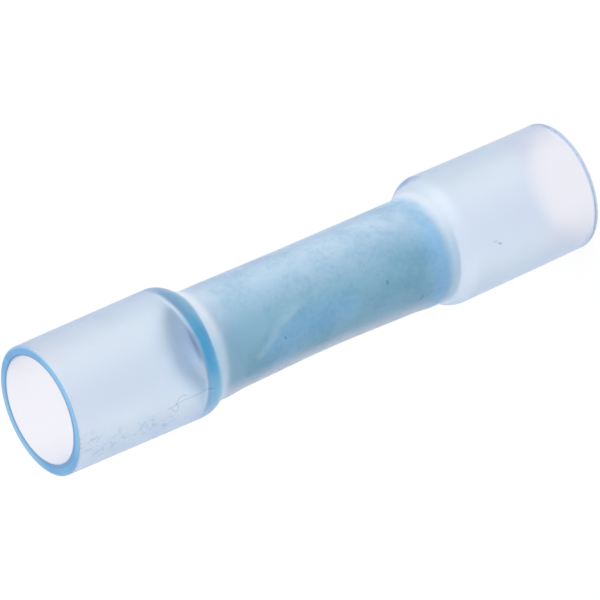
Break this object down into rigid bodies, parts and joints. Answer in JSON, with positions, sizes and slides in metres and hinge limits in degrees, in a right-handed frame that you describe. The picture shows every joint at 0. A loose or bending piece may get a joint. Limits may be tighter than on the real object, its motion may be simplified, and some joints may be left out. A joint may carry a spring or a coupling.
{
  "type": "heat-shrink butt splice connector",
  "caption": "Clear blue heat-shrink sleeve shrunk at its middle onto a tinned copper crimp barrel, with an open mouth at each end to join wires end to end.",
  "frame": {"origin": "centre of the lower mouth, on the plane of its cut end", "axes": "+Z along the connector's axis, from the lower mouth to the upper mouth; the barrel's stop dents lie 65 degrees from +X about Z"},
  "size_m": [0.0076, 0.0076, 0.036],
  "materials": {
    "sleeve": "clear blue, softly frosted",
    "tinned_copper": "matt tin plating"
  },
  "bodies": {
    "root": {"heat_shrink_sleeve": "sleeve", "crimp_barrel": "tinned_copper"}
  },
  "joints": []
}
